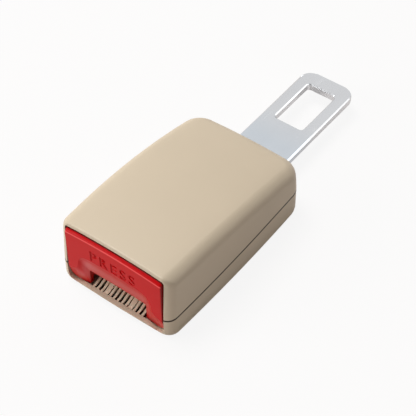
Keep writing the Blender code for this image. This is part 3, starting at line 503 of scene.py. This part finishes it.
def moulded_beige(colour):
    """Satin ABS with a fine eroded grain, painted shade along the parting line and between the
    ribs, and painted light on the rib tops.
    """
    material, paint = new_paint("moulded_beige")
    x, y, z = paint.axes()
    # Painted shade along the parting line, where the shells meet
    seam_shade = 1.0 - (z - parting_level(y, Value.clamped)).size().from_to(*SEAM_SHADE_FADE)
    # Painted shade below the rib tops, and over the whole throat further in
    rib_gap_shade = (RIB_TOP + (y - RIB_START) * RIB_SLOPE - z).from_to(*RIB_SHADE_DEPTH)
    rib_gap_shade = rib_gap_shade.at_least(y.from_to(*THROAT_SHADE_DEPTH))
    mouth = (1.0 - x.size().from_to(*MOUTH_WIDTH)) * y.from_to(*MOUTH_DEPTH)
    mouth = mouth * (1.0 - z.from_to(*MOUTH_LEVEL))
    # The painted shade between the ribs stays in the mouth and above the underside
    groove_shade = mouth * z.from_to(*GROOVE_SHADE_LEVEL) * rib_gap_shade
    # Painted light on the rib tops in the mouth
    rib_top_highlight = mouth * (1.0 - rib_gap_shade) * z.from_to(*RIB_HIGHLIGHT_LEVEL)
    # All the painted shade of the housing
    painted_shade = (seam_shade * 0.95).at_least(groove_shade * 0.93)

    drift = paint.noise(45.0, detail=3.0)
    speck = paint.noise(900.0, detail=3.0)
    base = paint.tones(drift, colour, 0.965, 1.03)
    specked = paint.blend(speck * 0.06, base, shade(colour, 0.8))
    # The rib tops are painted lighter, as light falls on them
    with_rib_highlight = paint.blend(rib_top_highlight, specked, shade(colour, 1.45))
    paint.surface("Base Color", paint.blend(painted_shade, with_rib_highlight, PAINTED_SHADE_BROWN))

    grain = paint.noise(2600.0, roughness=0.6)
    rubbed = paint.noise(28.0, detail=4.0, roughness=0.65).peaks(0.52, 5.0)
    paint.surface("Roughness", 0.47 - rubbed * 0.05 + (grain - 0.5) * 0.10)
    relief = grain * 0.7 + paint.cells(1500.0) * 0.5
    paint.surface("Normal", paint.bump(relief, distance=0.018 * MM, strength=0.55))
    paint.constants(Specular_IOR_Level=0.42, IOR=1.5)
    return material


def pressed_red(colour):
    """Semi-gloss red plastic with fine handling marks, a painted highlight along the face's
    upper edge, painted shade on the strip above it and painted shadow round it.
    """
    material, paint = new_paint("pressed_red")
    x, y, z = paint.axes()
    rise = z - (EDGE_LEVEL - x * x * EDGE_CROWN)
    # Painted highlight along the face's upper edge
    edge = (1.0 - rise.size().from_to(*EDGE_WIDTH)) * (1.0 - y.from_to(*EDGE_DEPTH))
    # Painted shade on the sloping strip above the face's upper edge
    band_shade = y.from_to(*BAND_DEPTH) * rise.from_to(*BAND_RISE)
    # Painted shadow at the rear of the sloping strip, under the rim, and along the button's
    # sides
    gap_shade = y.from_to(*GAP_DEPTH) * z.from_to(*GAP_LEVEL)
    gap_shade = gap_shade.at_least(x.size().from_to(*GAP_WIDTH) * 0.75)
    funnel = y.from_to(*FUNNEL_DEPTH) * (1.0 - z.from_to(*FUNNEL_LEVEL))

    drift = paint.noise(60.0)
    lengthwise = paint.stretched((1.0, 1.0, 9.0))
    hair = paint.noise(260.0, detail=3.0, roughness=0.6, vector=lengthwise).peaks(0.6, 9.0)
    base = paint.tones(drift, colour, 0.94, 1.05)
    marked = paint.blend(hair * 0.05, base, SCUFFED_RED)
    band_shaded = paint.blend(band_shade, marked, BAND_SHADE_RED)
    # The painted highlight goes over the red
    highlighted = paint.blend(edge * 0.85, band_shaded, HIGHLIGHT_RED)
    # The painted shadow in the clearance goes over the rest
    paint.surface("Base Color", paint.blend(gap_shade * 0.85, highlighted, GAP_SHADE_RED))

    grain = paint.noise(1900.0)
    paint.surface("Roughness", 0.30 + hair * 0.06 + (grain - 0.5) * 0.06)
    paint.surface("Normal", paint.bump(grain, distance=0.008 * MM, strength=0.4))
    paint.surface("Coat Weight", funnel * 0.8)
    paint.constants(Specular_IOR_Level=0.11, Coat_Roughness=0.3)
    return material


def bright_plating(colour):
    """Nickel-plated steel with faint long lines of the rolled strip, bluer near the housing."""
    material, paint = new_paint("bright_plating")
    near_housing = 1.0 - paint.axes()[1].from_to(*BLUE_END)
    rolling = paint.stretched((1.0, 0.04, 1.0))
    rolled = paint.noise(900.0, detail=3.0, roughness=0.6, vector=rolling)
    rubbing = paint.stretched((0.5, 0.12, 1.0))
    scuff = paint.noise(320.0, detail=4.0, roughness=0.7, vector=rubbing).peaks(0.62, 12.0)
    cloud = paint.noise(70.0, detail=3.0)
    base = paint.tones(cloud, colour, 0.95, 1.04)
    tinted = paint.blend(near_housing * 0.6, base, BLUE_NICKEL)
    paint.surface("Base Color", paint.blend(scuff * 0.12, tinted, shade(colour, 0.8)))
    worn = 0.20 + (rolled - 0.5) * 0.08 + cloud * 0.06 + scuff * 0.1
    paint.surface("Roughness", worn)
    paint.surface("Normal", paint.bump(rolled, distance=0.006 * MM, strength=0.35))
    paint.constants(Metallic=1.0)
    return material


def zinc_plating(colour):
    """Dull zinc on stamped steel, with its small crystal spangle."""
    material, paint = new_paint("zinc_plating")
    spangle = paint.cells(420.0)
    cloud = paint.noise(150.0, detail=3.0)
    base = paint.tones(spangle * 0.8, colour, 1.06, 0.82)
    paint.surface("Base Color", paint.blend(cloud * 0.25, base, YELLOW_ZINC))
    paint.surface("Roughness", 0.34 + spangle * 0.12 + (cloud - 0.5) * 0.1)
    relief = paint.noise(1400.0)
    paint.surface("Normal", paint.bump(relief, distance=0.012 * MM, strength=0.4))
    paint.constants(Metallic=1.0)
    return material


def drawn_wire(colour):
    """Spring steel wire with its drawing lines and a little oil darkening."""
    material, paint = new_paint("drawn_wire")
    lines = paint.noise(2400.0)
    oil = paint.noise(260.0, detail=3.0)
    paint.surface("Base Color", paint.tones(oil, colour, 0.75, 1.15))
    paint.surface("Roughness", 0.27 + lines * 0.12)
    paint.surface("Normal", paint.bump(lines, distance=0.006 * MM, strength=0.5))
    paint.constants(Metallic=1.0)
    return material


def black_acetal(colour):
    """Slightly waxy black plastic of the sliding block."""
    material, paint = new_paint("black_acetal")
    grain = paint.noise(1700.0)
    worn = paint.noise(130.0, detail=3.0)
    paint.surface("Base Color", paint.tones(worn * 0.4, colour, 1.0, 3.0))
    paint.surface("Roughness", 0.38 + (grain - 0.5) * 0.12)
    paint.surface("Normal", paint.bump(grain, distance=0.01 * MM, strength=0.4))
    paint.constants(Specular_IOR_Level=0.45)
    return material


def floor_white():
    """Matt pale table. It shows white to the camera and still keeps the part's shadow."""
    material, paint = new_paint("floor_white")
    matt = paint.node("ShaderNodeBsdfDiffuse", None, {"Color": TABLE_WHITE})
    glow = paint.node("ShaderNodeEmission", None, {"Color": WHITE, "Strength": 1.0})
    seen, mirrored = paint.rays()
    share = (seen * TABLE_SEEN).at_least(mirrored * TABLE_MIRRORED)
    sockets = {0: share, 1: matt.outputs[0], 2: glow.outputs[0]}
    mix = paint.node("ShaderNodeMixShader", None, sockets)
    paint.feed(paint.tree.nodes["Material Output"].inputs["Surface"], mix.outputs[0])
    return material


# Modelling


def settings():
    return bpy.context.scene.extender_sizes, bpy.context.scene.extender_colours


def select_only(obj):
    bpy.ops.object.select_all(action="DESELECT")
    obj.select_set(True)
    bpy.context.view_layer.objects.active = obj


def merged_copy(node, name):
    """A copy of a solid with its loose triangles welded and its flat faces whole again."""
    mesh = nodes[node].data.copy()
    mesh.name = name
    piece = bpy.data.objects.new(name, mesh)
    bpy.context.scene.collection.objects.link(piece)
    select_only(piece)
    if mesh.has_custom_normals:
        bpy.ops.mesh.customdata_custom_splitnormals_clear()
    bpy.ops.object.mode_set(mode="EDIT")
    bpy.ops.mesh.select_all(action="SELECT")
    bpy.ops.mesh.remove_doubles(threshold=WELD_DISTANCE)
    bpy.ops.mesh.dissolve_limited(angle_limit=math.radians(FLAT_ANGLE))
    bpy.ops.object.mode_set(mode="OBJECT")
    return piece


def apply_modifier(piece, kind, name, **values):
    select_only(piece)
    modifier = piece.modifiers.new(name, kind)
    for key, value in values.items():
        setattr(modifier, key, value)
    bpy.ops.object.modifier_apply(modifier=modifier.name)


def even_normals(piece):
    """Smooths the rounded edges and keeps the large faces flat in shading."""
    select_only(piece)
    bpy.ops.object.shade_smooth_by_angle(angle=math.radians(SMOOTH_ANGLE))
    apply_modifier(
        piece,
        "WEIGHTED_NORMAL",
        "even_normals",
        mode="FACE_AREA",
        weight=50,
        keep_sharp=True,
    )


def soften_edges(piece, width, angle=40.0, segments=2):
    """Rounds the sharp edges and smooths the shading between them."""
    if width > 0:
        apply_modifier(
            piece,
            "BEVEL",
            "edge_rounding",
            width=width,
            segments=segments,
            limit_method="ANGLE",
            angle_limit=math.radians(angle),
            miter_outer="MITER_ARC",
        )
    even_normals(piece)


def dress(piece, material):
    piece.data.materials.clear()
    piece.data.materials.append(material)


def stand_for(piece, body, slot, *replaced):
    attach(piece, body)
    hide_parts(*replaced)


def lower_parting(shell):
    """Moves the rims where the shells meet down to the parting line's own level."""
    for vertex in shell.data.vertices:
        if abs(vertex.co.z - PARTING) < PARTING_BAND:
            level = parting_level(vertex.co.y - FRONT, clamp_number)
            vertex.co.z += level - PARTING


def raise_lip(shell):
    """Lifts the lower edge of the bowed lip before the mouth."""
    for vertex in shell.data.vertices:
        across = abs(vertex.co.x) / LIP_HALF_WIDTH
        in_edge = vertex.co.y - FRONT < LIP_DEPTH and vertex.co.z < LIP_EDGE_LEVEL
        if in_edge and across < 1.0:
            vertex.co.z += LIP_RAISE * (1.0 - across**2)


class EXTENDER_OT_housing(bpy.types.Operator):
    """Make the two moulded shells with rounded rims"""

    bl_idname = "extender.housing"
    bl_label = "Housing"

    def execute(self, context):
        sizes, colours = settings()
        beige = moulded_beige(colours.housing)
        for node, name in (("upper_cover", "upper_shell"), ("lower_cover", "lower_shell")):
            shell = merged_copy(node, name)
            lower_parting(shell)
            if node == "lower_cover":
                raise_lip(shell)
            soften_edges(shell, sizes.shell_edge)
            dress(shell, beige)
            stand_for(shell, "housing", "beige_housing", node)
        return {"FINISHED"}


def engraved_word(sizes):
    """The cutter for the button's operating word, standing in the face.

    It is drawn with slightly heavy, wide-set strokes, and then scaled to its sizes.
    """
    bpy.ops.object.text_add(location=(0.0, 0.0, 0.0))
    text = bpy.context.object
    text.data.body = "PRESS"
    text.data.align_x = "CENTER"
    text.data.align_y = "CENTER"
    text.data.size = 1.0
    text.data.offset = 0.018
    text.data.space_character = 1.3
    text.data.extrude = 0.5
    text.data.resolution_u = 4
    select_only(text)
    bpy.ops.object.convert(target="MESH")
    low = [min(v.co[i] for v in text.data.vertices) for i in range(3)]
    high = [max(v.co[i] for v in text.data.vertices) for i in range(3)]
    wide, tall = high[0] - low[0], high[1] - low[1]
    middle = Vector(((low[0] + high[0]) / 2, (low[1] + high[1]) / 2, 0.0))
    depth = 2 * sizes.letter_depth
    grow = Matrix.Diagonal((sizes.letters_width / wide, sizes.letter_height / tall, depth, 1.0))
    turn = Matrix.Rotation(math.radians(90.0), 4, "X")
    place = Matrix.Translation((0.0, FRONT, sizes.letters_z))
    text.data.transform(place @ turn @ grow @ Matrix.Translation(-middle))
    return text


class EXTENDER_OT_button(bpy.types.Operator):
    """Make the press button and engrave its operating word"""

    bl_idname = "extender.button"
    bl_label = "Press button"

    def execute(self, context):
        sizes, colours = settings()
        button = merged_copy("press_button", "button_moulding")
        soften_edges(button, sizes.button_edge)
        letters = engraved_word(sizes)
        apply_modifier(
            button,
            "BOOLEAN",
            "engraving",
            object=letters,
            operation="DIFFERENCE",
            solver="EXACT",
        )
        bpy.data.objects.remove(letters, do_unlink=True)
        even_normals(button)
        dress(button, pressed_red(colours.button))
        stand_for(button, "button", "red_button", "press_button")
        return {"FINISHED"}


def round_blade(tongue, width):
    """Bevels the long edges of the blade, which the solid leaves sharp."""
    mesh = tongue.data
    select_only(tongue)
    bpy.ops.object.mode_set(mode="EDIT")
    for cut in BLADE_CUTS:
        bpy.ops.mesh.select_all(action="SELECT")
        bpy.ops.mesh.bisect(plane_co=(0.0, FRONT + cut, 0.0), plane_no=(0.0, 1.0, 0.0))
    bpy.ops.mesh.select_all(action="DESELECT")
    bpy.ops.object.mode_set(mode="OBJECT")
    for edge in mesh.edges:
        first, second = (mesh.vertices[i].co for i in edge.vertices)
        beside = all(abs(abs(end.x) - BLADE_HALF_WIDTH) < NEAR for end in (first, second))
        level = abs(first.z - second.z) < NEAR
        outside = min(first.y, second.y) - FRONT > BLADE_CUTS[0] - NEAR
        edge.select = beside and level and outside and (first - second).length > LONG_EDGE
    bpy.ops.object.mode_set(mode="EDIT")
    bpy.ops.mesh.select_mode(type="EDGE")
    bpy.ops.mesh.bevel(offset=width, segments=1, affect="EDGES", clamp_overlap=False)
    bpy.ops.object.mode_set(mode="OBJECT")


class EXTENDER_OT_tongue(bpy.types.Operator):
    """Make the plated tongue with its tumbled edges"""

    bl_idname = "extender.tongue"
    bl_label = "Tongue"

    def execute(self, context):
        sizes, colours = settings()
        tongue = merged_copy("tongue_plate", "tongue_stamping")
        round_blade(tongue, sizes.blade_edge)
        soften_edges(tongue, sizes.tongue_edge, angle=30.0, segments=3)
        dress(tongue, bright_plating(colours.tongue))
        stand_for(tongue, "housing", "plated_steel", "tongue_plate")
        return {"FINISHED"}


class EXTENDER_OT_mechanism(bpy.types.Operator):
    """Finish the latch frame, latch, pin, clip, rivets and ejector"""

    bl_idname = "extender.mechanism"
    bl_label = "Mechanism"

    def execute(self, context):
        colours = settings()[1]
        zinc = zinc_plating(colours.zinc)
        for node in ("latch_frame", "latch", "latch_pin", "rivet_left", "rivet_right"):
            dress(nodes[node], zinc)
        dress(nodes["pin_clip"], drawn_wire(colours.wire))
        dress(nodes["ejector"], black_acetal(colours.slider))
        return {"FINISHED"}


def helix(start, end, radius, wire):
    """Points of a compression spring between two places, with a closed turn at each end."""
    axis = end - start
    length = axis.length - wire
    turn = axis.to_track_quat("Z", "Y")
    open_turns = round(length / COIL_SPACING)
    pitch = (length - 2 * wire) / open_turns
    points = []
    for i in range((open_turns + 2) * COIL_STEPS + 1):
        lap = i / COIL_STEPS
        closed = wire * (min(lap, 1.0) + max(lap - open_turns - 1, 0.0))
        height = wire / 2 + closed + pitch * min(max(lap - 1.0, 0.0), open_turns)
        angle = math.tau * lap
        point = Vector((radius * math.cos(angle), radius * math.sin(angle), height))
        points.append(start + turn @ point)
    return points


def wire_piece(name, points, wire):
    """A round wire along a path, as a mesh with flat ends."""
    curve = bpy.data.curves.new(name, "CURVE")
    curve.dimensions = "3D"
    curve.bevel_depth = wire / 2
    curve.bevel_resolution = 2
    curve.use_fill_caps = True
    spline = curve.splines.new("POLY")
    spline.points.add(len(points) - 1)
    for spline_point, point in zip(spline.points, points):
        spline_point.co = (*point, 1.0)
    piece = bpy.data.objects.new(name, curve)
    bpy.context.scene.collection.objects.link(piece)
    select_only(piece)
    bpy.ops.object.convert(target="MESH")
    bpy.ops.object.shade_smooth_by_angle(angle=math.radians(WIRE_SMOOTH_ANGLE))
    return piece


class EXTENDER_OT_springs(bpy.types.Operator):
    """Wind the four springs"""

    bl_idname = "extender.springs"
    bl_label = "Springs"

    def execute(self, context):
        sizes, colours = settings()
        wire_finish = drawn_wire(colours.wire)
        for node, body, joint, axis, travel, kept_end in SPRINGS:
            low, high = (Vector(corner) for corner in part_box(node))
            middle = (low + high) / 2
            start, end = middle.copy(), middle.copy()
            start[axis], end[axis] = low[axis], high[axis]
            wire = sizes.wire
            radius = (high.x - low.x) / 2 - wire / 2
            spring = wire_piece(node + "_coil", helix(start, end, radius, wire), wire)
            dress(spring, wire_finish)
            stand_for(spring, body, "spring_steel", node)
            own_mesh(spring)
        return {"FINISHED"}


# Stage


def make_table():
    bpy.ops.mesh.primitive_plane_add(size=6.0, location=(0.0, 0.0, 0.0))
    table = bpy.context.object
    table.name = "table_top"
    bpy.ops.object.mode_set(mode="EDIT")
    bpy.ops.mesh.subdivide(number_cuts=3)
    bpy.ops.object.mode_set(mode="OBJECT")
    dress(table, floor_white())


def make_world():
    """An even fill that weakens to the right.

    In reflections the backdrop behind the part and the horizon are bright, the room is dim,
    and a panel stands on the right.
    """
    world = bpy.data.worlds.new("studio")
    bpy.context.scene.world = world
    paint = Paint(world)
    seen, mirrored = paint.rays()
    x, y, z = paint.parts(paint.where.outputs["Generated"])
    backdrop = y.peaks(BACKDROP_START, BACKDROP_RISE)
    horizon = ((HORIZON_TOP - z) * HORIZON_FALL).clamped()
    panel = x.from_to(*PANEL_SIDE) * z.from_to(*PANEL_FOOT)
    reflected = (ROOM_LEVEL + backdrop * BACKDROP_LEVEL).at_least(horizon) + panel * PANEL_LEVEL
    fill = 1.0 - seen.at_least(mirrored)
    rightwards = x * FILL_ACROSS - y * FILL_ALONG
    weaker = 1.0 - rightwards.from_to(*FILL_FADE) * FILL_LOSS
    strength = seen + mirrored * (1.0 - seen) * reflected + fill * FILL_LEVEL * weaker
    background = paint.tree.nodes["Background"].inputs
    paint.feed(background["Color"], paint.blend(fill, WHITE, FILL_WHITE))
    paint.feed(background["Strength"], strength)


def make_lamp(name, place, aim, power):
    lamp = bpy.data.lights.new(name, "AREA")
    lamp.size = LAMP_SIZE
    lamp.energy = power
    obj = bpy.data.objects.new(name, lamp)
    bpy.context.scene.collection.objects.link(obj)
    obj.location = place
    obj.rotation_mode = "QUATERNION"
    obj.rotation_quaternion = (Vector(aim) - Vector(place)).to_track_quat("-Z", "Y")


def make_camera(stage):
    angles = (stage.azimuth, stage.elevation, stage.roll)
    azimuth, elevation, roll = (math.radians(angle) for angle in angles)
    flat = math.cos(elevation)
    back = Vector((math.sin(azimuth) * flat, -math.cos(azimuth) * flat, math.sin(elevation)))
    level = Vector((math.cos(azimuth), math.sin(azimuth), 0.0))
    upward = back.cross(level)
    right = math.cos(roll) * level + math.sin(roll) * upward
    up = math.cos(roll) * upward - math.sin(roll) * level
    aim = Vector(PART_MIDDLE) + right * stage.shift_right + up * stage.shift_up
    camera = bpy.data.objects.new("photo_camera", bpy.data.cameras.new("photo_camera"))
    bpy.context.scene.collection.objects.link(camera)
    turn = Matrix((right, up, back)).transposed().to_4x4()
    camera.matrix_world = Matrix.Translation(aim + back * stage.distance) @ turn
    camera.data.sensor_width = SENSOR_WIDTH
    camera.data.lens = stage.focal_pixels * SENSOR_WIDTH / PICTURE_WIDTH
    camera.data.clip_start = 0.01
    camera.data.clip_end = 20.0
    bpy.context.scene.camera = camera


class EXTENDER_OT_stage(bpy.types.Operator):
    """Make the white table, the soft lamps and the camera"""

    bl_idname = "extender.stage"
    bl_label = "Stage"

    def execute(self, context):
        make_table()
        make_world()
        for lamp in LAMPS:
            make_lamp(*lamp)
        make_camera(context.scene.extender_stage)
        context.scene.view_settings.view_transform = "Standard"
        return {"FINISHED"}


class EXTENDER_PT_panel(bpy.types.Panel):
    """Sizes, colours and the pieces in the order in which they are made"""

    bl_idname = "EXTENDER_PT_panel"
    bl_label = "Seat Belt Extender"
    bl_space_type = "VIEW_3D"
    bl_region_type = "UI"
    bl_category = "Extender"

    def draw(self, context):
        layout = self.layout
        for title, group in (
            ("Sizes", context.scene.extender_sizes),
            ("Colours", context.scene.extender_colours),
            ("Stage", context.scene.extender_stage),
        ):
            box = layout.box()
            box.label(text=title)
            for name in group.bl_rna.properties.keys():
                if name not in ("rna_type", "name"):
                    box.prop(group, name)
        for operator in OPERATORS:
            layout.operator(operator.bl_idname)


OPERATORS = (
    EXTENDER_OT_housing,
    EXTENDER_OT_button,
    EXTENDER_OT_tongue,
    EXTENDER_OT_mechanism,
    EXTENDER_OT_springs,
    EXTENDER_OT_stage,
)
CLASSES = (ExtenderSizes, ExtenderColours, ExtenderStage, *OPERATORS, EXTENDER_PT_panel)


def register():
    for cls in CLASSES:
        bpy.utils.register_class(cls)
    bpy.types.Scene.extender_sizes = bpy.props.PointerProperty(type=ExtenderSizes)
    bpy.types.Scene.extender_colours = bpy.props.PointerProperty(type=ExtenderColours)
    bpy.types.Scene.extender_stage = bpy.props.PointerProperty(type=ExtenderStage)


def unregister():
    del bpy.types.Scene.extender_stage
    del bpy.types.Scene.extender_colours
    del bpy.types.Scene.extender_sizes
    for cls in reversed(CLASSES):
        bpy.utils.unregister_class(cls)


def main():
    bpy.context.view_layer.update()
    bpy.ops.object.select_all(action="DESELECT")
    register()
    bpy.ops.extender.housing()
    bpy.ops.extender.button()
    bpy.ops.extender.tongue()
    bpy.ops.extender.mechanism()
    bpy.ops.extender.springs()
    bpy.ops.extender.stage()
    bpy.context.view_layer.update()


if __name__ == "__main__":
    main()
